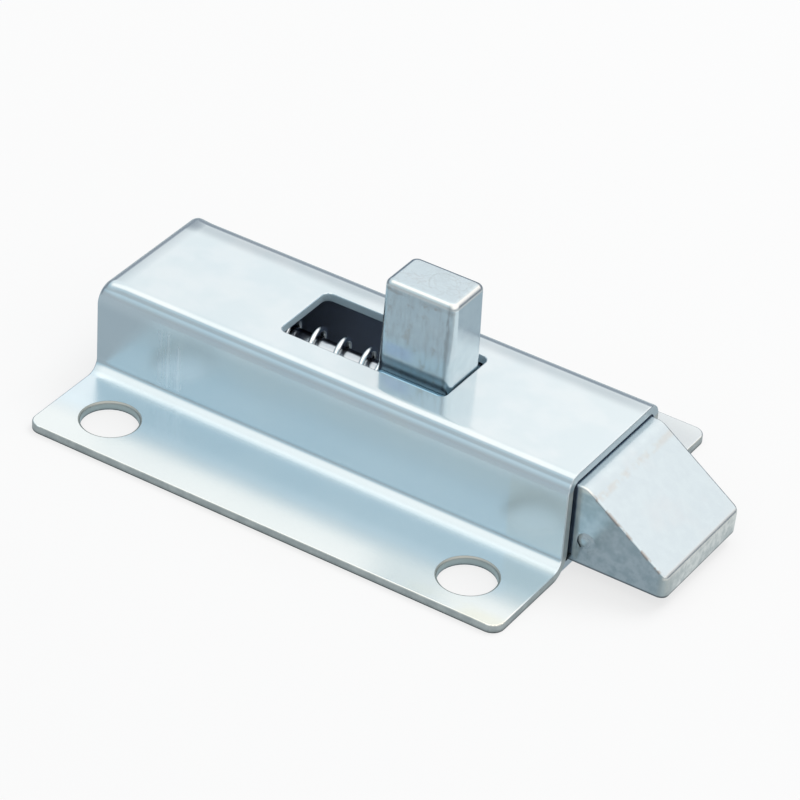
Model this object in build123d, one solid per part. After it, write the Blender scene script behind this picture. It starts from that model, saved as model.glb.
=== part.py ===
from build123d import *
from math import cos, radians, sin
import os

# Sliding bolt latch, in millimetres. X runs along the bolt towards its nose, Z stands up out of the
# mounting plane, and the origin is the centre of the four fixing holes on that plane.

# Housing, one folded steel sheet
sheet = 1.4
housing_length = 80.0
channel_width = 25.0
channel_height = 16.5
flange_span = 58.9
flange_corner = 2.0
crown_bend = 1.2
rear_bend = 0.3
foot_bend = 2.0

# Fixing holes
hole_radius = 4.3
hole_spacing_y = 43.4
rear_hole_margin = 9.2
front_hole_margin = 9.6
hole_rim_round = 0.35

# Knob slot in the top of the housing
slot_corner = 1.2
slot_side_gap = 1.95
stop_gap = 0.15

# Rear tab, folded down between the side walls
tab_side_gap = 0.15
tab_foot_gap = 0.2

# Bolt, one zinc die casting
bolt_width = 20.9
bolt_roof_gap = 0.3
bolt_floor_gap = 0.25
nose_reach = 15.35
nose_flat = 1.75
nose_tip_height = 3.6
ridge_round = 1.0
tip_round = 1.0
tip_top_round = 0.45
bolt_edge_round = 0.35

# Square thumb knob, cast on the bolt
knob_length = 12.4
knob_width = 8.5
knob_stand = 13.9
knob_draft = 0.8
knob_corner_round = 1.1
knob_top_round = 0.95
knob_foot_round = 0.7
knob_setback = 24.8
knob_travel = 15.2

# Low domed guide bosses on the two sides of the nose
boss_radius = 1.5
boss_height = 0.4
boss_ahead = 2.4
boss_level = 4.3

# Stem behind the bolt, inside the spring
stem_radius = 2.9
stem_length = 25.2
stem_tip_round = 1.0
stem_drop = 5.2

# Compression spring
wire = 0.9
coil_clearance = 0.45
coil_turns = 10.84
coil_start = 98.0
closed_gap = 0.02
points_per_turn = 10
seat_gap = 0.05

# Back plate, bedded in the foot bends and staked at four places
plate_sheet = 1.2
plate_fit = 0.03
plate_end_gap = 0.4
stake_length = 5.0
stake_width = 1.5
stake_lip = 0.25
stake_inset = 12.0

# Places worked out from the sizes
hole_spacing_x = housing_length - rear_hole_margin - front_hole_margin
rear_end = -(rear_hole_margin + hole_spacing_x / 2)
front_end = rear_end + housing_length
wall_outside = channel_width / 2
wall_inside = wall_outside - sheet
roof = channel_height - sheet
crown_round = crown_bend + sheet
rear_round = rear_bend + sheet
foot_round = foot_bend + sheet
plate_bottom = stake_lip
plate_top = plate_bottom + plate_sheet
bolt_bottom = plate_top + bolt_floor_gap
bolt_top = roof - bolt_roof_gap
tip = front_end + nose_reach
knob_front = front_end - knob_setback
knob_rear = knob_front - knob_length
slot_front = knob_front + stop_gap
slot_length = knob_length + knob_travel + 2 * stop_gap
slot_middle = slot_front - slot_length / 2
slot_width = knob_width + 2 * slot_side_gap
stem_level = bolt_top - stem_drop
coil_radius = stem_radius + coil_clearance + wire / 2


def block(x_low, x_high, y_low, y_high, z_low, z_high):
    """A box between two corners."""
    size = (x_high - x_low, y_high - y_low, z_high - z_low)
    return Pos(x_low, y_low, z_low) * Box(*size, align=(Align.MIN, Align.MIN, Align.MIN))


def edges_near(shape, axis, x=None, y=None, z=None):
    """Straight edges along an axis whose middle lies at the given coordinates; y is taken on both sides."""
    found = shape.edges().filter_by(axis)
    if x is not None:
        found = found.filter_by(lambda edge: abs(edge.center().X - x) < 0.01)
    if y is not None:
        found = found.filter_by(lambda edge: abs(abs(edge.center().Y) - y) < 0.01)
    if z is not None:
        found = found.filter_by(lambda edge: abs(edge.center().Z - z) < 0.01)
    return found


def rounded_crown(rear, half_width, height, side_radius, rear_radius, front):
    """A block with bends along its two long top edges and its rear top edge, which meet in mitres."""
    crown = block(rear, front, -half_width, half_width, 0, height)
    sides_folded = fillet(edges_near(crown, Axis.X, y=half_width, z=height), side_radius)
    rear_folded = fillet(edges_near(crown, Axis.Y, x=rear, z=height), rear_radius)
    return sides_folded & rear_folded


def make_housing():
    skin = rounded_crown(rear_end, wall_outside, channel_height, crown_round, rear_round, front_end)
    hollow = rounded_crown(rear_end + sheet, wall_inside, roof, crown_bend, rear_bend, front_end + sheet)
    flanges = block(rear_end, front_end, -flange_span / 2, flange_span / 2, 0, sheet)
    housing = skin + flanges
    housing = fillet(edges_near(housing, Axis.X, y=wall_outside, z=sheet), foot_bend)
    housing -= hollow

    # The rear tab ends above the back plate, and stands clear of both side walls up to its bend
    tab_foot = plate_top + tab_foot_gap
    housing -= block(rear_end - sheet, rear_end + 2 * sheet, -wall_inside, wall_inside, -sheet, tab_foot)
    slit_top = channel_height - crown_round
    for side in (-1, 1):
        slit_middle = side * (wall_inside - tab_side_gap / 2)
        slit_low = slit_middle - tab_side_gap / 2
        slit_high = slit_middle + tab_side_gap / 2
        housing -= block(rear_end - sheet, rear_end + sheet, slit_low, slit_high, -sheet, slit_top)
    housing = fillet(edges_near(housing, Axis.X, y=wall_inside, z=0), foot_round)
    housing = fillet(edges_near(housing, Axis.Z, y=flange_span / 2), flange_corner)

    slot = extrude(RectangleRounded(slot_length, slot_width, slot_corner), 2 * sheet)
    housing -= Pos(slot_middle, 0, roof - sheet / 2) * slot

    for place in GridLocations(hole_spacing_x, hole_spacing_y, 2, 2):
        housing -= place * Cylinder(hole_radius, 4 * sheet)
    rims = housing.edges().filter_by(GeomType.CIRCLE)
    rims = rims.filter_by(lambda edge: abs(edge.radius - hole_radius) < 0.01 and edge.center().Z > sheet / 2)
    housing = fillet(rims, hole_rim_round)

    # Four staked lips hold the back plate's edges up against the foot bends
    lip_outside = wall_inside + foot_round
    for x_side in (-1, 1):
        for y_side in (-1, 1):
            lip_middle = (rear_end + front_end) / 2 + x_side * (housing_length / 2 - stake_inset)
            lip = block(-stake_length / 2, stake_length / 2, -stake_width, 0, 0, stake_lip)
            if y_side < 0:
                lip = mirror(lip, Plane.XZ)
            housing += Pos(lip_middle, y_side * lip_outside, 0) * lip
    return housing


def make_bolt():
    ridge = front_end + nose_flat
    tip_top = bolt_bottom + nose_tip_height
    side_view = Polyline(
        (knob_rear, bolt_bottom),
        (tip, bolt_bottom),
        (tip, tip_top),
        (ridge, bolt_top),
        (knob_rear, bolt_top),
        close=True,
    )
    profile = make_face(Plane.XZ * side_view)
    bolt = extrude(profile, bolt_width / 2, both=True)
    bolt = fillet(edges_near(bolt, Axis.Z, x=tip), tip_round)
    bolt = fillet(edges_near(bolt, Axis.Y, x=ridge, z=bolt_top), ridge_round)
    bolt = fillet(edges_near(bolt, Axis.Y, x=tip, z=tip_top), tip_top_round)
    rims = bolt.edges().filter_by(lambda edge: abs(abs(edge.center().Y) - bolt_width / 2) < 0.01)
    bolt = fillet(rims, bolt_edge_round)

    knob_height = channel_height + knob_stand - bolt_top
    foot = Rectangle(knob_length, knob_width)
    knob = extrude(foot, knob_height, taper=knob_draft)
    uprights = knob.edges().filter_by(lambda edge: edge.bounding_box().size.Z > knob_height / 2)
    knob = fillet(uprights, knob_corner_round)
    knob = fillet(knob.faces().sort_by(Axis.Z)[-1].edges(), knob_top_round)
    bolt += Pos((knob_rear + knob_front) / 2, 0, bolt_top) * knob
    feet = edges_near(bolt, Axis.X, y=knob_width / 2, z=bolt_top)
    bolt = fillet(feet, knob_foot_round)

    stem = Cylinder(stem_radius, stem_length)
    stem = fillet(stem.edges().sort_by(Axis.Z)[-1], stem_tip_round)
    stem_middle = knob_rear - stem_length / 2
    bolt += Pos(stem_middle, 0, stem_level) * Rot(0, -90, 0) * stem

    # Each boss is the cap of a ball that is sunk in the side of the nose
    ball_radius = (boss_radius ** 2 + boss_height ** 2) / (2 * boss_height)
    ball_middle = bolt_width / 2 + boss_height - ball_radius
    for side in (-1, 1):
        bolt += Pos(front_end + boss_ahead, side * ball_middle, bolt_bottom + boss_level) * Sphere(ball_radius)
    return bolt


def make_spring():
    """Round wire wound in one even pitch, with the last turn at each end closed against its neighbour."""
    rear_wire = rear_end + sheet + seat_gap + wire / 2
    front_wire = knob_rear - seat_gap - wire / 2
    coil_length = front_wire - rear_wire
    closed_pitch = wire + closed_gap
    open_pitch = (coil_length - 2 * closed_pitch) / (coil_turns - 2)
    steps = round(coil_turns * points_per_turn)
    points = []
    for step in range(steps + 1):
        turn = coil_turns * step / steps
        closed_behind = min(turn, 1)
        closed_ahead = max(turn - coil_turns + 1, 0)
        closed = closed_behind + closed_ahead
        rise = closed_pitch * closed + open_pitch * (turn - closed)
        angle = radians(coil_start + 360 * turn)
        points.append((rear_wire + rise, coil_radius * sin(angle), stem_level - coil_radius * cos(angle)))
    centre_line = Spline(*points)
    end = Plane(origin=centre_line @ 0, z_dir=centre_line % 0)
    return sweep(end * Circle(wire / 2), centre_line, is_frenet=True)


def make_back_plate():
    """Flat plate whose long edges are pressed to the curve of the foot bends."""
    bend_middle = wall_inside + foot_round
    plate_rear = rear_end + plate_end_gap
    plate_front = front_end - plate_end_gap
    plate = block(plate_rear, plate_front, -bend_middle, bend_middle, plate_bottom, plate_top)
    bend = Rot(0, 90, 0) * Cylinder(foot_round + plate_fit, 2 * housing_length)
    for side in (-1, 1):
        plate -= Pos(0, side * bend_middle, foot_round) * bend
    return plate


parts = {
    "housing": make_housing(),
    "bolt": make_bolt(),
    "spring": make_spring(),
    "back_plate": make_back_plate(),
}

os.makedirs("parts", exist_ok=True)
for name, shape in parts.items():
    shape.label = name
    export_step(shape, f"parts/{name}.step")
    box = shape.bounding_box()
    print(name, "solids", len(shape.solids()), "volume", round(shape.volume, 1), "box", box.min, box.max)
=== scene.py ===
from math import cos, pi, radians, sin, sqrt, tan

import bmesh
import bpy
from mathutils import Matrix, Vector


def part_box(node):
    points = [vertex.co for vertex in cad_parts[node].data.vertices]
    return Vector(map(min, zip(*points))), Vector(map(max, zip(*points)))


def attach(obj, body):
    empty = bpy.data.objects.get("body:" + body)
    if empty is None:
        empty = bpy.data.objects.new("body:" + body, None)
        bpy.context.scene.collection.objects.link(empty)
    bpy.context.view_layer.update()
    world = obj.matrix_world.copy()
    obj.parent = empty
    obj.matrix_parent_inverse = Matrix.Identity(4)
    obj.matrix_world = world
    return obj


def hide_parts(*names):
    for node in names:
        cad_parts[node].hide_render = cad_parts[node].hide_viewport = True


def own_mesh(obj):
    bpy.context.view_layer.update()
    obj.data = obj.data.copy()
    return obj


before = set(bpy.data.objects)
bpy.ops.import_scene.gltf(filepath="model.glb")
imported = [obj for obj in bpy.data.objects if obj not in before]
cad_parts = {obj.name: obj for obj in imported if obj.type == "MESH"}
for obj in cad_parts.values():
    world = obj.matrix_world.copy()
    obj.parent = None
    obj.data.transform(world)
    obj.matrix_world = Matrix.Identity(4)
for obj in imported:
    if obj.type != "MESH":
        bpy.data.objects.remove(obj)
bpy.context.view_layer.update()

mm = 0.001


# Camera
# A long lens at the photograph's viewing angle, turned a little about its own axis. It looks at a point on
# the mounting plane near the middle of the latch.
camera_azimuth = radians(30.257)
camera_elevation = radians(34.878)
camera_roll = radians(4.359)
camera_distance = 620.85 * mm
camera_target = Vector((-0.891, 10.016, 0.0)) * mm
image_side = 800
focal_pixels = 4214.85
film_width = 36.0
clip_reach = 50

camera_back = Vector((
    sin(camera_azimuth) * cos(camera_elevation),
    -cos(camera_azimuth) * cos(camera_elevation),
    sin(camera_elevation),
))
level_right = Vector((0, 0, 1)).cross(camera_back).normalized()
level_up = camera_back.cross(level_right)
camera_right = cos(camera_roll) * level_right + sin(camera_roll) * level_up
camera_up = cos(camera_roll) * level_up - sin(camera_roll) * level_right
camera_data = bpy.data.cameras.new("camera")
camera_data.sensor_width = film_width
camera_data.lens = focal_pixels / image_side * film_width
camera_data.clip_start = camera_distance / clip_reach
camera_data.clip_end = camera_distance * clip_reach
camera = bpy.data.objects.new("camera", camera_data)
camera.matrix_world = Matrix((camera_right, camera_up, camera_back)).transposed().to_4x4()
camera.location = camera_target + camera_distance * camera_back
bpy.context.scene.collection.objects.link(camera)
bpy.context.scene.camera = camera
bpy.context.scene.view_settings.view_transform = "Standard"


# Studio
# A pale seamless floor in a room that is brightest overhead and on the camera's right, and dark towards its
# horizon. One broad soft lamp hangs overhead. Metal mirrors the floor dimmer and bluer than the camera sees
# it, to match the tones of the walls in the photograph.
class Shade:
    """A shader socket on which arithmetic adds Math nodes; any other node comes from its method node."""

    def __init__(self, tree, socket=None):
        self.tree = tree
        self.socket = socket

    def node(self, kind, settings, inputs, output=0):
        """A new node: its settings are set first, then its sockets get their values or links."""
        made = self.tree.nodes.new(kind)
        for name, value in settings.items():
            setattr(made, name, value)
        for name, value in inputs.items():
            if isinstance(value, Shade):
                self.tree.links.new(value.socket, made.inputs[name])
            else:
                made.inputs[name].default_value = value
        return Shade(self.tree, made.outputs[output] if made.outputs else None)

    def maths(self, operation, *values):
        return self.node("ShaderNodeMath", {"operation": operation}, dict(enumerate((self, *values))))

    def __add__(self, other):
        return self.maths("ADD", other)

    __radd__ = __add__

    def __sub__(self, other):
        return self.maths("SUBTRACT", other)

    def __rsub__(self, other):
        return (self * -1) + other

    def __mul__(self, other):
        return self.maths("MULTIPLY", other)

    __rmul__ = __mul__

    def __abs__(self):
        return self.maths("ABSOLUTE")

    def rise(self, low, high):
        """Goes smoothly from 0 to 1 as the value goes from low to high."""
        settings = {"interpolation_type": "SMOOTHSTEP"}
        return self.node("ShaderNodeMapRange", settings, {0: self, 1: low, 2: high})

    def near(self, place, full, none):
        """1 within one distance of a place and 0 past another, with a smooth passage between them."""
        return 1 - abs(self - place).rise(full, none)

    def hypotenuse(self, other):
        """The distance that has this value and another one as its two legs."""
        return (self * self + other * other).maths("SQRT")

    def noise(self, size, detail=3.0, roughness=0.55, stretch=(1, 1, 1)):
        """Clouds between 0 and 1 on a place given in millimetres, stretched along the axes."""
        scale = [1 / (size * share) for share in stretch]
        moved = self.node("ShaderNodeVectorMath", {"operation": "MULTIPLY"}, {0: self, 1: scale})
        inputs = {"Vector": moved, "Scale": 1.0, "Detail": detail, "Roughness": roughness}
        return self.node("ShaderNodeTexNoise", {}, inputs)

    def mix(self, mask, first, second):
        """A colour that goes from the first to the second as the mask goes from 0 to 1."""
        inputs = {0: mask}
        for socket, colour in ((6, first), (7, second)):
            inputs[socket] = colour if isinstance(colour, Shade) else (*colour, 1)
        return self.node("ShaderNodeMix", {"data_type": "RGBA"}, inputs, output=2)

    def parts(self):
        """The X, Y and Z of a vector."""
        split = self.node("ShaderNodeSeparateXYZ", {}, {0: self})
        outputs = split.socket.node.outputs
        return [Shade(self.tree, outputs[axis]) for axis in "XYZ"]

    def bump(self, height, depth, under=None):
        """The surface normal over a height between 0 and 1 that stands for a depth in millimetres."""
        inputs = {"Strength": 1.0, "Distance": depth * mm, "Height": height}
        if under:
            inputs["Normal"] = under
        return self.node("ShaderNodeBump", {}, inputs)


def new_finish(name):
    """An empty material, its shader writer, and the place on the piece in millimetres."""
    finish = bpy.data.materials.new(name)
    finish.use_nodes = True
    finish.node_tree.nodes.clear()
    shade = Shade(finish.node_tree)
    metres = shade.node("ShaderNodeTexCoord", {}, {}, output="Object")
    settings = {"operation": "SCALE"}
    place = shade.node("ShaderNodeVectorMath", settings, {0: metres, "Scale": 1 / mm})
    return finish, shade, place


def surface(shade, **inputs):
    """The material's surface: a Principled shader with the given sockets."""
    sockets = {name.replace("_", " "): value for name, value in inputs.items()}
    for name, value in sockets.items():
        if isinstance(value, tuple):
            sockets[name] = (*value, 1)
    made = shade.node("ShaderNodeBsdfPrincipled", {}, sockets)
    shade.node("ShaderNodeOutputMaterial", {}, {"Surface": made})


def dress(piece, *finishes):
    """Gives a piece its finishes; each face keeps the one that it was marked for."""
    marks = [face.material_index for face in piece.data.polygons]
    piece.data.materials.clear()
    for finish in finishes:
        piece.data.materials.append(finish)
    piece.data.polygons.foreach_set("material_index", marks)


floor_half_width = 6000
floor_glow = 0.76
mirrored_floor_glow = 0.9
# The level direction away from the camera
away_x = -sin(camera_azimuth)
away_y = cos(camera_azimuth)
floor_corners = []
for x, y in ((-1, -1), (1, -1), (1, 1), (-1, 1)):
    floor_corners.append((x * floor_half_width * mm, y * floor_half_width * mm, 0))
floor_mesh = bpy.data.meshes.new("floor")
floor_mesh.from_pydata(floor_corners, [], [(0, 1, 2, 3)])
floor = bpy.data.objects.new("floor", floor_mesh)
bpy.context.scene.collection.objects.link(floor)

floor_finish, shade, place = new_finish("pale_floor")
cloud = place.noise(60, detail=2)
x, y, z = place.parts()
distance = x.hypotenuse(y)
paper_colour = shade.mix(cloud, (0.58, 0.58, 0.585), (0.595, 0.595, 0.60))
behind_latch = (x * away_x + y * away_y).rise(-60, 60)
far_colour = shade.mix(behind_latch, (0.42, 0.49, 0.54), (0.15, 0.18, 0.22))
past_tip = x.rise(50, 60) * (1 - distance.rise(80, 130))
near_colour = shade.mix(past_tip, (0.43, 0.51, 0.56), (0.66, 0.69, 0.69))
under_latch = x.near(0, 35, 38) * y.near(0, 25, 28)
near_colour = shade.mix(under_latch, near_colour, (0.66, 0.84, 0.94))
mirrored_colour = shade.mix(distance.rise(75, 230), near_colour, far_colour)
camera_ray = shade.node("ShaderNodeLightPath", {}, {}, output="Is Camera Ray")
glossy_ray = shade.node("ShaderNodeLightPath", {}, {}, output="Is Glossy Ray")
paper = shade.node("ShaderNodeBsdfDiffuse", {}, {"Color": paper_colour})
glow_colour = shade.mix(glossy_ray, (0.97, 0.97, 0.97), mirrored_colour)
glow = shade.node("ShaderNodeEmission", {}, {"Color": glow_colour, "Strength": 1.0})
glow_share = camera_ray * floor_glow + glossy_ray * mirrored_floor_glow
lit = shade.node("ShaderNodeMixShader", {}, {0: glow_share, 1: paper, 2: glow})
shade.node("ShaderNodeOutputMaterial", {}, {"Surface": lit})
dress(floor, floor_finish)

world = bpy.data.worlds.new("room")
bpy.context.scene.world = world
world.use_nodes = True
world.node_tree.nodes.clear()
shade = Shade(world.node_tree)
toward_x, toward_y, toward_z = shade.node("ShaderNodeTexCoord", {}, {}, output="Generated").parts()
right = toward_x * away_y - toward_y * away_x
walls = shade.mix(right.rise(-1.1, 0.5), (0.49, 0.66, 0.75), (1.24, 1.20, 1.17))
ceiling_rise = 0.99
ceiling_lean = 0.12
overhead = toward_z * ceiling_rise - toward_y * ceiling_lean
ceiling = shade.mix(overhead.rise(0.67, 0.87), walls, (1.32, 1.30, 1.26))
away = toward_x * away_x + toward_y * away_y
horizon = shade.mix(away.rise(-0.3, 0.5), (0.46, 0.51, 0.54), (0.18, 0.22, 0.28))
near_rise = toward_z.rise(0.05, 0.52)
far_rise = toward_z.rise(0.31, 0.53)
lit_share = near_rise + (far_rise - near_rise) * away.rise(0.2, 0.7)
room_colour = shade.mix(lit_share, horizon, ceiling)
room_light = shade.node("ShaderNodeBackground", {}, {"Color": room_colour, "Strength": 1.0})
shade.node("ShaderNodeOutputWorld", {}, {"Surface": room_light})

lamp_width = 900
lamp_place = Vector((260, 800, 1300))
lamp_watts = 18
lamp_data = bpy.data.lights.new("overhead", "AREA")
lamp_data.shape = "SQUARE"
lamp_data.size = lamp_width * mm
lamp_data.energy = lamp_watts
lamp = bpy.data.objects.new("overhead", lamp_data)
lamp.location = lamp_place * mm
lamp.rotation_mode = "QUATERNION"
lamp.rotation_quaternion = lamp_place.to_track_quat("Z", "Y")
lamp.visible_glossy = False
bpy.context.scene.collection.objects.link(lamp)


# Housing
# One piece of 1.4 mm steel sheet, blanked and punched, then folded into a hat section with two flanges for
# screws and a tab folded down at the rear. It is plated bright blue-white zinc after folding.
rear_end = (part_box("housing")[0] / mm).x
front_end, flange_high, crown_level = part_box("housing")[1] / mm
sheet = 1.4
wall_outside = 12.5
crown_bend = 1.2
rear_bend = 0.3
foot_bend = 2.0
flange_corner = 2.0
hole_radius = 4.3
hole_spacing_x = 61.2
hole_spacing_y = 43.4
hole_rim_round = 0.35
hole_room = 5.6
rolled_edge_round = 0.24
cut_edge_round = 0.12
slot_rear = -12.35
slot_front = 15.55
slot_half_width = 6.2
slot_corner = 1.2
tab_foot = 1.65
tab_side_gap = 0.15
relief_past_tab = 0.3
rear_crown_tighter = 0.5
rear_ease = 4.0
ease_step = 0.6
flange_edge_strip = 3.0
bend_steps = 12
margin = 2.0
touch = 0.02
wall_inside = wall_outside - sheet
crown_outside = crown_bend + sheet
rear_outside = rear_bend + sheet
foot_outside = foot_bend + sheet
roof = crown_level - sheet
wall_middle = wall_inside + sheet / 2


def arc(across, up, radius, start, stop, steps=bend_steps):
    """Points on an arc about a middle; its angles run from the first axis to the second, in degrees."""
    points = []
    for step in range(steps + 1):
        angle = radians(start + (stop - start) * step / steps)
        points.append((across + radius * cos(angle), up + radius * sin(angle)))
    return points


def circle(across, up, radius, steps):
    """Points round a circle about a middle, each one once."""
    return arc(across, up, radius, 0, 360, steps)[:-1]


def bend_stations(radius, steps=bend_steps):
    """Distances from an end at which a bend of this radius turns by even angles."""
    return [radius * (1 - cos(pi / 2 * step / steps)) for step in range(steps + 1)]


def fall(radius, distance):
    """How far a round edge of this radius lies below its flat, at a distance from its end."""
    if distance >= radius:
        return 0.0
    return radius - sqrt(max(radius ** 2 - (radius - distance) ** 2, 0.0))


def soft_minimum(first, second, blend):
    """The lower of two heights, with a smooth passage between them."""
    share = max(blend - abs(first - second), 0.0) / blend
    return min(first, second) - share * share * blend / 4


def solid(name, rings):
    """A closed mesh in millimetres through rings of points, with a cap on its first and last ring."""
    build = bmesh.new()
    rows = [[build.verts.new(point) for point in ring] for ring in rings]
    for low, high in zip(rows, rows[1:]):
        for index in range(len(low)):
            after = (index + 1) % len(low)
            build.faces.new((low[index], low[after], high[after], high[index]))
    build.faces.new(rows[0])
    build.faces.new(rows[-1])
    bmesh.ops.recalc_face_normals(build, faces=build.faces)
    mesh = bpy.data.meshes.new(name)
    build.to_mesh(mesh)
    build.free()
    piece = bpy.data.objects.new(name, mesh)
    bpy.context.scene.collection.objects.link(piece)
    return piece


def section_ring(x, half):
    """A full ring at one station from the half section on the +Y side."""
    return [(x, y, z) for y, z in half] + [(x, -y, z) for y, z in reversed(half)]


def prism(name, outline, low, high):
    """An upright solid over an outline of x and y, between two levels."""
    return solid(name, [[(x, y, z) for x, y in outline] for z in (low, high)])


def block(name, low, high):
    """A box between two corners."""
    outline = [(low[0], low[1]), (high[0], low[1]), (high[0], high[1]), (low[0], high[1])]
    return prism(name, outline, low[2], high[2])


def settle(piece):
    """Turns a piece's modifiers into its mesh."""
    graph = bpy.context.evaluated_depsgraph_get()
    mesh = bpy.data.meshes.new_from_object(piece.evaluated_get(graph))
    piece.modifiers.clear()
    piece.data = mesh


def carve(piece, operation, *tools):
    """Cuts tools out of a piece or unites them with it, and removes them."""
    for tool in tools:
        change = piece.modifiers.new("carve", "BOOLEAN")
        change.operation = operation
        change.solver = "EXACT"
        change.object = tool
        settle(piece)
        bpy.data.objects.remove(tool)


def rounded_rectangle(half_x, half_y, corner, steps=8):
    """Points round a rectangle with round corners, as pairs of x and y."""
    points = []
    for x_side, y_side, start in ((1, 1, 0), (-1, 1, 90), (-1, -1, 180), (1, -1, 270)):
        middle_x = x_side * (half_x - corner)
        middle_y = y_side * (half_y - corner)
        points += arc(middle_x, middle_y, corner, start, start + 90, steps)
    return points


def outside_ring(x):
    """The outer form at one station. The falls of the side and rear bends add up to a soft corner."""
    from_rear = x - rear_end
    rear_fall = fall(rear_outside, from_rear)
    grown = min(from_rear / rear_ease, 1)
    crown = crown_outside - rear_crown_tighter * (1 - grown * grown * (3 - 2 * grown))
    half = [(flange_high, 0), (flange_high, sheet)]
    half += arc(wall_outside + foot_bend, foot_outside, foot_bend, 270, 180)
    for y, z in arc(wall_outside - crown, crown_level - crown, crown, 0, 90):
        half.append((y, z - rear_fall))
    return section_ring(x, half)


def foot_section(inner):
    """The underside of a foot bend, from below the mounting plane up to the inside of the wall."""
    middle_y = inner + foot_outside
    return [(middle_y, -margin)] + arc(middle_y, foot_outside, foot_outside, 270, 180)


def hollow_ring(x):
    """The inner form at one station, open below."""
    inner_level = roof - fall(rear_bend, x - rear_end - sheet)
    half = foot_section(wall_inside)
    for y, z in arc(wall_inside - crown_bend, roof - crown_bend, crown_bend, 0, 90):
        half.append((y, min(z, inner_level)))
    return section_ring(x, half)


stations = {rear_end + distance for distance in bend_stations(rear_outside)}
stations |= {rear_end + rear_outside + ease_step * step for step in range(1, 5)}
# Stations beside the holes keep long thin faces away from their rims
for hole_x in (-hole_spacing_x / 2, hole_spacing_x / 2):
    stations |= {hole_x - hole_room, hole_x + hole_room}
stations.add(front_end)
housing = solid("folded_housing", [outside_ring(x) for x in sorted(stations)])

hollow_rear = rear_end + sheet
hollow_stations = [hollow_rear + distance for distance in bend_stations(rear_bend)] + [front_end + margin]
hollow = solid("hollow", [hollow_ring(x) for x in hollow_stations])
under_tab = foot_section(wall_inside) + [(wall_inside, tab_foot)]
slit_front = hollow_rear + relief_past_tab
relief = solid("relief", [section_ring(x, under_tab) for x in (rear_end - margin, slit_front)])
slit_top = crown_level - crown_outside
slits = []
for side in (-1, 1):
    y_low, y_high = sorted((side * wall_inside, side * (wall_inside - tab_side_gap)))
    slits.append(block("slit", (rear_end - margin, y_low, -margin), (slit_front, y_high, slit_top)))
slot_half_length = (slot_front - slot_rear) / 2
slot_middle = (slot_front + slot_rear) / 2
slot_outline = []
for x, y in rounded_rectangle(slot_half_length, slot_half_width, slot_corner):
    slot_outline.append((slot_middle + x, y))
slot = prism("slot", slot_outline, roof - margin / 2, crown_level + margin)
holes = []
hole_steps = 64
for hole_x in (-hole_spacing_x / 2, hole_spacing_x / 2):
    for hole_y in (-hole_spacing_y / 2, hole_spacing_y / 2):
        hole_outline = circle(hole_x, hole_y, hole_radius, hole_steps)
        holes.append(prism("hole", hole_outline, -margin, sheet + margin))
corners = []
for x_side, end in ((-1, rear_end), (1, front_end)):
    for y_side in (-1, 1):
        outline = [(end + x_side * margin, y_side * (flange_high - flange_corner))]
        for x, y in arc(-flange_corner, -flange_corner, flange_corner, 0, 90):
            outline.append((end + x_side * x, y_side * (flange_high + y)))
        outline.append((end - x_side * flange_corner, y_side * (flange_high + margin)))
        outline.append((end + x_side * margin, y_side * (flange_high + margin)))
        corners.append(prism("corner", outline, -margin, sheet + margin))
carve(housing, "DIFFERENCE", hollow, relief, *slits, slot, *holes, *corners)

stake_half_length = 2.5
stake_width = 1.5
stake_lip = 0.25
stake_inset = 12.0
lip_outside = wall_inside + foot_outside
lips = []
for lip_x in (rear_end + stake_inset, front_end - stake_inset):
    for side in (-1, 1):
        y_low, y_high = sorted((side * lip_outside, side * (lip_outside - stake_width)))
        low = (lip_x - stake_half_length, y_low, 0)
        lips.append(block("staked_lip", low, (lip_x + stake_half_length, y_high, stake_lip)))
carve(housing, "UNION", *lips)


def hole_distance(point):
    """Distance of a point from the axis of the nearest of the four holes."""
    return sqrt((abs(point.x) - hole_spacing_x / 2) ** 2 + (abs(point.y) - hole_spacing_y / 2) ** 2)


def near_hole(point):
    """Whether a point lies on the wall of one of the four holes."""
    return abs(hole_distance(point) - hole_radius) < 0.1


def on_upper_side(point):
    """Whether a point is on the sheet's upper side: over the flanges, outside the walls, on the crown."""
    y = abs(point.y)
    if y > wall_outside + foot_bend:
        return point.z > sheet - touch
    if y > wall_outside - touch and point.z < foot_outside:
        from_y = y - wall_outside - foot_bend
        from_z = point.z - foot_outside
        return sqrt(from_y ** 2 + from_z ** 2) < foot_bend + touch
    from_y = y - (wall_outside - crown_outside)
    from_z = point.z - (crown_level - crown_outside)
    if from_y > 0 and from_z > 0:
        return sqrt(from_y ** 2 + from_z ** 2) > crown_outside - touch
    return y > wall_outside - touch or point.z > crown_level - touch


def sheared(face):
    """Whether a face is a cut edge of the sheet, where the punch or the shear went through."""
    middle = face.calc_center_median()
    normal = face.normal
    at_flange_end = middle.z < sheet and abs(middle.y) > flange_high - flange_edge_strip
    if abs(normal.z) < 0.5 and (near_hole(middle) or at_flange_end):
        return True
    if abs(normal.x) > 0.9 and (middle.x > front_end - 0.1 or abs(middle.y) > wall_inside):
        return True
    in_slot = slot_rear - 0.1 < middle.x < slot_front + 0.1 and abs(middle.y) < slot_half_width + 0.1
    return in_slot and abs(normal.z) < 0.3 and roof - 0.01 < middle.z < crown_level


def smooth(piece, sharp_angle=35):
    """Smooth shading that keeps flats flat, with sharp edges where a surface really turns."""
    build = bmesh.new()
    build.from_mesh(piece.data)
    for face in build.faces:
        face.smooth = True
    for edge in build.edges:
        edge.smooth = len(edge.link_faces) == 2 and edge.calc_face_angle(0) < radians(sharp_angle)
    build.to_mesh(piece.data)
    build.free()
    piece.data.transform(Matrix.Scale(mm, 4))
    weighted = piece.modifiers.new("flat faces stay flat", "WEIGHTED_NORMAL")
    weighted.keep_sharp = True


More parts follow.
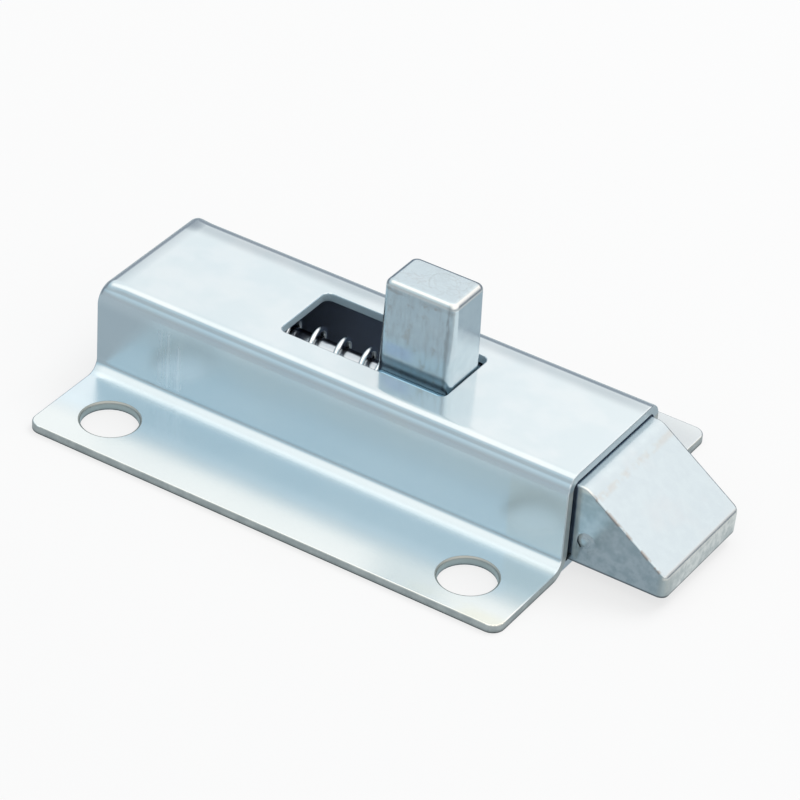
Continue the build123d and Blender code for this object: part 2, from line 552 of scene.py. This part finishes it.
build = bmesh.new()
build.from_mesh(housing.data)
bmesh.ops.remove_doubles(build, verts=build.verts, dist=0.002)
flat_seams = []
for edge in build.edges:
    first, second = edge.verts
    across = abs(first.co.x - second.co.x) < 0.001 and first.co.x < rear_end + rear_outside - 0.05
    if across and edge.calc_face_angle(1) < radians(0.3):
        flat_seams.append(edge)
bmesh.ops.dissolve_edges(build, edges=flat_seams, use_verts=True)
bevel_share = build.edges.layers.float.new("bevel_weight_edge")
for face in build.faces:
    face.material_index = 1 if sheared(face) else 0
for edge in build.edges:
    if len(edge.link_faces) != 2 or edge.calc_face_angle(0) < radians(40):
        continue
    middle = (edge.verts[0].co + edge.verts[1].co) / 2
    beside_slit = middle.x < hollow_rear + 0.4 and abs(abs(middle.y) - wall_inside) < 0.3
    rear_corner = middle.x < rear_end + touch and middle.z > crown_level - crown_outside - rear_outside
    lip_across = lip_outside - stake_width - touch < abs(middle.y) < lip_outside + touch
    from_lips = min(abs(middle.x - rear_end - stake_inset), abs(front_end - stake_inset - middle.x))
    on_lip = lip_across and middle.z < stake_lip + touch and from_lips < stake_half_length + touch
    if beside_slit or rear_corner or on_lip:
        continue
    hole_rim = near_hole(middle) and middle.z > sheet - 0.05
    wall_rear = middle.x < rear_end + touch and abs(middle.y) > wall_middle and middle.z > foot_outside
    if hole_rim:
        edge[bevel_share] = 1.0
    elif on_upper_side(middle) or wall_rear:
        edge[bevel_share] = rolled_edge_round / hole_rim_round
    else:
        edge[bevel_share] = cut_edge_round / hole_rim_round
build.to_mesh(housing.data)
build.free()
edges_rounded = housing.modifiers.new("cut edges", "BEVEL")
edges_rounded.limit_method = "WEIGHT"
edges_rounded.width = hole_rim_round
edges_rounded.segments = 3
edges_rounded.use_clamp_overlap = False
settle(housing)
for face in housing.data.polygons:
    reach = max(hole_distance(housing.data.vertices[index].co) for index in face.vertices)
    if reach < hole_radius + hole_rim_round + 0.05 and face.center.z > sheet - hole_rim_round:
        face.material_index = 1
smooth(housing)

drawn_patch_x = -27.0
zinc, shade, place = new_finish("bright_zinc_plating")
x, y, z = place.parts()
side = abs(y)
on_wall = z.rise(2.2, 4.2) * (1 - z.rise(12.0, 14.5))
on_flange = 1 - z.rise(1.45, 3.0)
# Inside the channel: the place that gets painted shade below.
inside = (1 - side.rise(wall_inside + 0.05, wall_inside + 0.2)) * (1 - z.rise(roof + 0.05, roof + 0.2))
inside = inside * x.rise(rear_end + 0.7, rear_end + 1.2)
on_top = z.rise(crown_level - 1.0, crown_level - 0.1)
to_camera = y * -1
cloud = place.noise(16, detail=2)
second_cloud = place.noise(7, detail=3)
draw_lines = place.noise(0.8, detail=2, roughness=0.5, stretch=(1, 1, 30))
line_patch = x.near(drawn_patch_x, 1.5, 5) * on_wall * to_camera.rise(11, 12)
colour = shade.mix(cloud.rise(0.35, 0.65), (0.72, 0.80, 0.845), (0.77, 0.825, 0.85))
colour = shade.mix(second_cloud.rise(0.55, 0.8) * 0.3, colour, (0.80, 0.83, 0.79))
# Painted shade: the side walls get a darker colour than the top and flanges, for the dimmer room they
# mirror.
colour = shade.mix(on_wall * 0.8, colour, (0.62, 0.695, 0.735))
# Painted reflections on the flanges: the middle is lighter and bluer, and the near flange's outer strip
# lighter, where they mirror the bright bends and room.
colour = shade.mix(on_flange * (1 - side.rise(20, 25)) * 0.9, colour, (0.82, 0.92, 0.97))
near_side = to_camera.rise(20.5, 26)
colour = shade.mix(on_flange * near_side, colour, (0.90, 0.93, 0.92))
# Painted highlight: a pale yellowish patch near the front of the near flange's outer edge.
front_highlight = on_flange * near_side * side.rise(26, 28.5) * x.rise(20, 34) * second_cloud.rise(0.3, 0.6)
colour = shade.mix(front_highlight * 0.6, colour, (0.90, 0.89, 0.76))
colour = shade.mix(draw_lines.rise(0.5, 0.7) * line_patch * 0.22, colour, (0.95, 0.97, 0.98))
top_colour = shade.mix(second_cloud.rise(0.4, 0.65), (0.66, 0.735, 0.765), (0.715, 0.77, 0.795))
colour = shade.mix(on_top * 0.75, colour, top_colour)
# Painted shade along the foot bends, which dims their highlight.
foot_bend_shade = z.rise(1.45, 1.9) * (1 - z.rise(2.8, 3.6)) * side.rise(wall_outside - 0.1, wall_outside)
colour = shade.mix(foot_bend_shade * 0.6, colour, (0.58, 0.66, 0.70))
# Painted sheen: the far flange's outer strip is lighter.
colour = shade.mix(on_flange * y.rise(20, 24) * 0.6, colour, (0.87, 0.90, 0.90))
front_zone = on_wall * x.rise(hole_spacing_x / 2, hole_spacing_x / 2 + 0.7)
colour = shade.mix(front_zone * 0.6, colour, (0.66, 0.69, 0.68))
# Painted shade inside the channel, where little light reaches: dark blue here, and less metallic in the
# metal below.
colour = shade.mix(inside * 0.8, colour, (0.26, 0.33, 0.50))
on_crown = z.rise(13.4, 14.4) * (1 - z.rise(16.2, 16.45)) * side.rise(9, 10)
roughness = 0.13 + 0.04 * second_cloud + 0.10 * (1 - z.rise(12.5, 16.4)) + 0.05 * draw_lines * line_patch
roughness = roughness + 0.04 * on_crown
ripple = shade.bump(place.noise(22, detail=1), 0.16)
curl = shade.bump((1 - side.rise(19, 31)) * on_flange, 0.5, under=ripple)
far_shoulder = 1 - y.rise(wall_outside - 5.5, wall_outside - 1.2)
far_shoulder = shade.bump(far_shoulder * on_top, 0.22, under=curl)
rear_shoulder = x.rise(rear_end + 0.3, rear_end + 3.6)
shoulder = shade.bump(rear_shoulder * on_top, 0.16, under=far_shoulder)
metal = 1 - 0.15 * on_top - 0.5 * inside
surface(shade, Base_Color=colour, Metallic=metal, Roughness=roughness, Normal=shoulder)

cut, shade, place = new_finish("sheared_edge")
x, y, z = place.parts()
shear_lines = place.noise(0.5, detail=4, roughness=0.65, stretch=(1, 1, 8))
patches = place.noise(2.5, detail=3)
in_flange = 1 - z.rise(1.6, 2.0)
across_x = abs(x) - hole_spacing_x / 2
across_y = abs(y) - hole_spacing_y / 2
from_axis = across_x.hypotenuse(across_y)
in_hole = 1 - from_axis.rise(hole_radius + 0.4, hole_radius + 0.6)
break_zone = (1 - (z + 0.35 * shear_lines).rise(0.45, 0.85)) * in_flange
# The lowest part of the flange's cut edges, next to the floor, which gets painted shadow below.
cut_foot_shadow = (1 - (z + 0.1 * shear_lines).rise(0.16, 0.36)) * in_flange
colour = shade.mix(patches.rise(0.35, 0.7), (0.56, 0.57, 0.545), (0.70, 0.70, 0.66))
# Painted shade in the screw holes: their walls and rims are darker.
colour = shade.mix(in_hole * 0.75, colour, (0.36, 0.375, 0.35))
high_up = z.rise(14, 14.5)
round_slot = high_up * (1 - x.rise(20, 21))
colour = shade.mix(high_up, colour, (0.58, 0.66, 0.70))
colour = shade.mix(round_slot, colour, (0.37, 0.48, 0.54))
# Painted highlight: a pale blue glint on the slot's near cut edge.
near_edge_glint = (y * -1).rise(5.5, 6.1) * (1 - z.rise(15.8, 16.1))
colour = shade.mix(round_slot * near_edge_glint, colour, (0.72, 0.90, 0.98))
colour = shade.mix(break_zone * 0.45, colour, (0.27, 0.28, 0.27))
# Painted shadow: the lowest part of the flange's cut edges is nearly black.
colour = shade.mix(cut_foot_shadow, colour, (0.07, 0.075, 0.075))
roughness = 0.36 + 0.15 * shear_lines
scored = shade.bump(shear_lines, 0.01)
metal = 1 - 0.8 * round_slot
surface(shade, Base_Color=colour, Metallic=metal, Roughness=roughness, Normal=scored)

dress(housing, zinc, cut)
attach(housing, "housing")
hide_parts("housing")


# Back plate
# A flat strip of plated sheet that closes the channel from below, bedded in the foot bends and staked
# there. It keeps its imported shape.
plate_finish, shade, place = new_finish("satin_zinc_plate")
rolled = place.noise(1.2, detail=4, stretch=(16, 1, 1))
cloud = place.noise(9, detail=2)
colour = shade.mix(cloud.rise(0.3, 0.7), (0.62, 0.67, 0.70), (0.70, 0.75, 0.78))
roughness = 0.32 + 0.12 * rolled
surface(shade, Base_Color=colour, Metallic=1.0, Roughness=roughness, Normal=shade.bump(rolled, 0.008))
back_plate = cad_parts["back_plate"]
dress(back_plate, plate_finish)


# Bolt
# One zinc die casting: the wedge nose, the bar inside the channel, the square thumb knob that stands up
# through the slot, and the round stem that guides the spring. It is plated, and its edges are soft.
stem_end, bolt_low_y, bolt_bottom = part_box("bolt")[0] / mm
tip, bolt_high_y, knob_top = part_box("bolt")[1] / mm
bolt_half_width = 10.45
bolt_top = 14.8
ridge = 41.95
tip_top = 5.3
ridge_round = 1.0
ridge_blend = 0.5
ridge_steps = 6
tip_round_low = 1.4
tip_round_high = 0.9
tip_top_round = 0.45
bolt_edge_round = 0.35
knob_rear = 3.0
knob_front = 15.4
knob_half_width = 4.25
knob_draft = radians(0.8)
knob_corner_round = 1.1
knob_top_round = 0.95
knob_foot_round = 0.7
stem_radius = 2.9
stem_tip_round = 1.0
stem_level = 9.6
boss_radius = 1.5
boss_height = 0.4
boss_x = 42.6
boss_level = 6.0
round_steps = 8

slope_rate = (bolt_top - tip_top) / (tip - ridge)


def nose_top(x):
    """Height of the bolt's upper side, which the slope cuts down towards the tip."""
    slope_level = bolt_top - (x - ridge) * slope_rate
    return soft_minimum(bolt_top, slope_level, ridge_blend)


def bolt_ring(x):
    """The bar or nose at one station, with round edges along it and a round corner at the tip."""
    from_tip = tip - x
    from_rear = x - knob_rear
    half = bolt_half_width - fall(bolt_edge_round, from_rear)
    top = nose_top(x) - fall(tip_top_round, from_tip) - fall(bolt_edge_round, from_rear)
    bottom = bolt_bottom + fall(bolt_edge_round, from_tip) + fall(bolt_edge_round, from_rear)
    middle = (top + bottom) / 2
    ring = []
    for y, z in rounded_rectangle(half, (top - bottom) / 2, bolt_edge_round, 5):
        height = min(max((middle + z - bolt_bottom) / (tip_top - bolt_bottom), 0), 1)
        corner = tip_round_low + (tip_round_high - tip_round_low) * height
        ring.append((x, y * (1 - fall(corner, from_tip) / bolt_half_width), middle + z))
    return ring


bolt_stations = {knob_rear + distance for distance in bend_stations(bolt_edge_round, 5)}
bolt_stations |= {tip - distance for distance in bend_stations(tip_round_low, round_steps)}
bolt_stations |= {tip - distance for distance in bend_stations(tip_top_round, round_steps)}
bolt_stations |= {ridge + ridge_round * (step / ridge_steps - 1) for step in range(2 * ridge_steps + 1)}
least_step = 0.012
kept_stations = []
for station in sorted(bolt_stations):
    if not kept_stations or station - kept_stations[-1] > least_step:
        kept_stations.append(station)
bolt = solid("cast_bolt", [bolt_ring(x) for x in kept_stations])

knob_sink = 1.5
knob_past_bar = 0.01
knob_corner_shrink = 0.55
knob_corner_least = 0.3
knob_levels = [bolt_top - knob_sink, bolt_top]
for step in range(1, round_steps + 1):
    knob_levels.append(bolt_top + knob_foot_round * sin(pi / 2 * step / round_steps))
for step in range(round_steps + 1):
    knob_levels.append(knob_top - knob_top_round * (1 - sin(pi / 2 * step / round_steps)))
knob_rings = []
for level in knob_levels:
    draft = max(level - bolt_top, 0) * tan(knob_draft)
    flare = fall(knob_foot_round, max(level - bolt_top, 0.0))
    shrink = fall(knob_top_round, knob_top - level)
    x_low = knob_rear + draft + shrink - knob_past_bar
    x_high = knob_front - draft - shrink + flare
    half_y = knob_half_width - draft - shrink + flare
    corner = max(knob_corner_round - shrink * knob_corner_shrink + flare, knob_corner_least)
    outline = rounded_rectangle((x_high - x_low) / 2, half_y, corner, round_steps)
    knob_rings.append([((x_low + x_high) / 2 + x, y, level) for x, y in outline])
knob = solid("knob", knob_rings)

stem_sink = 1.0
stem_steps = 40
stem_tip_steps = 6
stem_rings = []
stem_stations = [stem_end + distance for distance in bend_stations(stem_tip_round, stem_tip_steps)]
for x in stem_stations + [knob_rear + stem_sink]:
    radius = stem_radius - fall(stem_tip_round, x - stem_end)
    stem_rings.append([(x, y, z) for y, z in circle(0, stem_level, radius, stem_steps)])
stem = solid("stem", stem_rings)

bosses = []
ball_radius = (boss_radius ** 2 + boss_height ** 2) / (2 * boss_height)
for side, face in ((-1, bolt_low_y), (1, bolt_high_y)):
    rings = []
    for angle in range(2, 39, 4):
        radius = ball_radius * sin(radians(angle))
        level = face - side * ball_radius * (1 - cos(radians(angle)))
        rings.append([(x, level, z) for x, z in circle(boss_x, boss_level, radius, stem_steps)])
    bosses.append(solid("boss", rings))
carve(bolt, "UNION", knob, stem, *bosses)
smooth(bolt)

tip_corner_y = -8.4
blue_patch_x = 6.4
blue_patch_level = 19.4
scratch_x = 10.6
scratch_y = 0.3
scratch_radius = 3.5
bar_front = 39.0
casting, shade, place = new_finish("plated_zinc_casting")
x, y, z = place.parts()
side = abs(y)
mottle = place.noise(1.7, detail=4, roughness=0.6)
cloud = place.noise(6, detail=2)
pits = place.noise(0.45, detail=4, roughness=0.65)
stain_noise = place.noise(1.8, detail=4, roughness=0.65)
colour = shade.mix(mottle.rise(0.3, 0.7), (0.61, 0.70, 0.75), (0.65, 0.745, 0.79))
colour = shade.mix(cloud.rise(0.5, 0.75) * 0.3, colour, (0.67, 0.70, 0.73))

flank = side.rise(bolt_half_width - 0.25, bolt_half_width - 0.02)
# Painted shade on the bolt's flat sides: darker than the slope and top, with a random tone.
shaded_flank_colour = shade.mix(stain_noise.rise(0.35, 0.65), (0.40, 0.475, 0.50), (0.56, 0.61, 0.635))
colour = shade.mix(flank * 0.85, colour, shaded_flank_colour)
slope_height = z + (x - ridge) * slope_rate - bolt_top
on_slope = slope_height.near(0, 0.15, 0.7)
slope_side = side.near(bolt_half_width, 0.05, 0.5)
ridge_line = x.near(ridge + 1.7, 0.1, 0.7) * on_slope * (1 - flank)
colour = shade.mix(ridge_line * stain_noise.rise(0.4, 0.6) * 0.35, colour, (0.60, 0.55, 0.49))
slope_stain = on_slope * slope_side * x.rise(ridge + 0.3, ridge + 1.5) * stain_noise.rise(0.45, 0.55)
colour = shade.mix(slope_stain * 0.8, colour, (0.33, 0.28, 0.25))
# Painted highlight: a cream patch at the slope's side edges by the ridge.
ridge_corner_highlight = slope_side * x.near(ridge, 0.4, 1.5) * z.rise(bolt_top - 1.2, bolt_top - 0.4)
colour = shade.mix(ridge_corner_highlight * 0.7, colour, (0.90, 0.88, 0.82))

from_boss = (x - boss_x).hypotenuse(z - boss_level)
on_boss = flank * (1 - from_boss.rise(0.5, 1.7))
# Painted highlight: the raised boss is lighter in patches.
colour = shade.mix(on_boss * mottle.rise(0.35, 0.6) * 0.6, colour, (0.72, 0.77, 0.79))

on_tip = x.rise(tip - 0.4, tip - 0.1) * (1 - z.rise(tip_top + 0.1, tip_top + 0.5))
tip_colour = shade.mix(stain_noise.rise(0.35, 0.65), (0.58, 0.63, 0.63), (0.90, 0.92, 0.90))
colour = shade.mix(on_tip * 0.9, colour, tip_colour)
# Painted shade on the tip's near corner, below its top.
tip_corner = x.rise(tip - 1.6, tip - 0.8) * (1 - (y - tip_corner_y).rise(-0.8, 0.8))
tip_corner = tip_corner * (1 - z.rise(tip_top, tip_top + 0.4))
colour = shade.mix(tip_corner * 0.7, colour, (0.42, 0.48, 0.49))
# Painted highlight: a cream line along the edge between slope and tip.
tip_edge_highlight = z.near(tip_top, 0.1, 0.45) * x.rise(tip - 0.9, tip - 0.3)
colour = shade.mix(tip_edge_highlight * 0.7, colour, (0.88, 0.87, 0.83))

knob_side = side.near(knob_half_width, 0.25, 0.9) * z.rise(bolt_top + 0.3, bolt_top + 1)
knob_grain = place.noise(0.7, detail=3, stretch=(1, 1, 4))
colour = shade.mix(knob_side * knob_grain.rise(0.42, 0.7) * 0.55, colour, (0.53, 0.58, 0.60))
colour = shade.mix(knob_side * stain_noise.rise(0.56, 0.68) * 0.4, colour, (0.46, 0.42, 0.38))
# Painted highlight: a cream band round the knob just below its top.
rim = z.rise(knob_top - 1.15, knob_top - 0.75) * (1 - z.rise(knob_top - 0.12, knob_top - 0.04))
colour = shade.mix(rim * 0.75, colour, (0.87, 0.865, 0.835))
rim_line = (z + 1.6 * stain_noise).near(knob_top - 0.55, 0.05, 0.5) * knob_side
colour = shade.mix(rim_line * cloud.rise(0.35, 0.6) * 0.6, colour, (0.38, 0.33, 0.29))
corner_line = x.near(knob_front - 1.25, 0.08, 0.55) * knob_side * knob_grain.rise(0.35, 0.6)
colour = shade.mix(corner_line * 0.6, colour, (0.36, 0.39, 0.40))
low_patch = z.near(blue_patch_level, 0.5, 1.5) * x.near(blue_patch_x, 1.0, 3.6) * knob_side
colour = shade.mix(low_patch * 0.5, colour, (0.52, 0.60, 0.80))
on_knob_top = z.rise(knob_top - 0.1, knob_top - 0.03)
knob_veins = stain_noise.near(0.5, 0.004, 0.04) * on_knob_top
colour = shade.mix(knob_veins * cloud.rise(0.35, 0.55) * 0.3, colour, (0.46, 0.49, 0.50))
from_scratch = (x - scratch_x).hypotenuse(y - scratch_y) + 2.2 * cloud
scratch = from_scratch.near(scratch_radius, 0.03, 0.22) * on_knob_top
colour = shade.mix(scratch * mottle.rise(0.42, 0.6) * 0.3, colour, (0.36, 0.39, 0.40))

bar = (1 - x.rise(bar_front - 0.5, bar_front + 0.5)) * (1 - z.rise(bolt_top + 0.1, bolt_top + 0.9))
bar_colour = shade.mix(z.rise(bolt_top + 0.02, bolt_top + 0.15), (0.56, 0.63, 0.67), (0.40, 0.64, 0.79))
colour = shade.mix(bar * 0.9, colour, bar_colour)
# Behind the knob, the stem seen through the slot: painted shade, nearly black on its far side, with a
# painted highlight on its near side.
behind = 1 - x.rise(knob_rear - 0.6, knob_rear - 0.1)
near_lit_side = 1 - (y + 0.8 * mottle).rise(0.1, 0.7)
colour = shade.mix(behind * (1 - near_lit_side * 0.85), colour, (0.15, 0.15, 0.18))
colour = shade.mix(behind * near_lit_side * 0.85, colour, (0.62, 0.66, 0.70))
# Painted shade: the bolt's underside is nearly black.
underside = 1 - z.rise(bolt_bottom + 0.25, bolt_bottom + 0.6)
colour = shade.mix(underside * 0.9, colour, (0.10, 0.11, 0.12))
roughness = 0.15 + 0.12 * mottle + 0.08 * on_boss
dents = shade.bump(mottle, 0.008)
rough = shade.bump(pits, 0.004, under=dents)
surface(shade, Base_Color=colour, Metallic=1.0, Roughness=roughness, Normal=rough)
dress(bolt, casting)
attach(bolt, "bolt")
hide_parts("bolt")


# Spring
# Round steel wire wound on the stem with its end turns closed, plated like the rest. It pushes between the
# rear tab and the bolt. The real spring flattens towards the tab as the bolt slides back; here it is built
# at one length and rides with the housing.
spring_rear = (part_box("spring")[0] / mm).x
spring_front = (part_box("spring")[1] / mm).x
wire = 0.9
coil_radius = 3.8
coil_turns = 10.84
coil_start = 98.0
closed_pitch = 0.92
coil_lift = 0.4
steps_per_turn = 40
wire_sides = 14

coil_length = spring_front - spring_rear - wire
open_pitch = (coil_length - 2 * closed_pitch) / (coil_turns - 2)
centre_line = []
for step in range(round(coil_turns * steps_per_turn) + 1):
    turn = step / steps_per_turn
    closed = min(turn, 1) + max(turn - coil_turns + 1, 0)
    x = spring_rear + wire / 2 + closed_pitch * closed + open_pitch * (turn - closed)
    angle = radians(coil_start + 360 * turn)
    level = stem_level + coil_lift * (x - spring_rear) / coil_length
    centre_line.append(Vector((x, coil_radius * sin(angle), level - coil_radius * cos(angle))))
wire_rings = []
for index, point in enumerate(centre_line):
    ahead = centre_line[min(index + 1, len(centre_line) - 1)] - centre_line[max(index - 1, 0)]
    ahead.normalize()
    outward = Vector((0, point.y, point.z - stem_level)).normalized()
    outward = (outward - outward.dot(ahead) * ahead).normalized()
    aside = ahead.cross(outward)
    ring = []
    for step in range(wire_sides):
        angle = 2 * pi * step / wire_sides
        ring.append(point + wire / 2 * (cos(angle) * outward + sin(angle) * aside))
    wire_rings.append(ring)
spring = solid("coil_spring", wire_rings)
smooth(spring)

wire_finish, shade, place = new_finish("bright_spring_wire")
drawn = place.noise(0.5, detail=3)
cloud = place.noise(3, detail=2)
colour = shade.mix(cloud.rise(0.35, 0.65), (0.82, 0.86, 0.88), (0.88, 0.91, 0.925))
roughness = 0.14 + 0.06 * drawn
surface(shade, Base_Color=colour, Metallic=1.0, Roughness=roughness, Normal=shade.bump(drawn, 0.004))
dress(spring, wire_finish)
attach(spring, "housing")
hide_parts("spring")
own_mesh(spring)
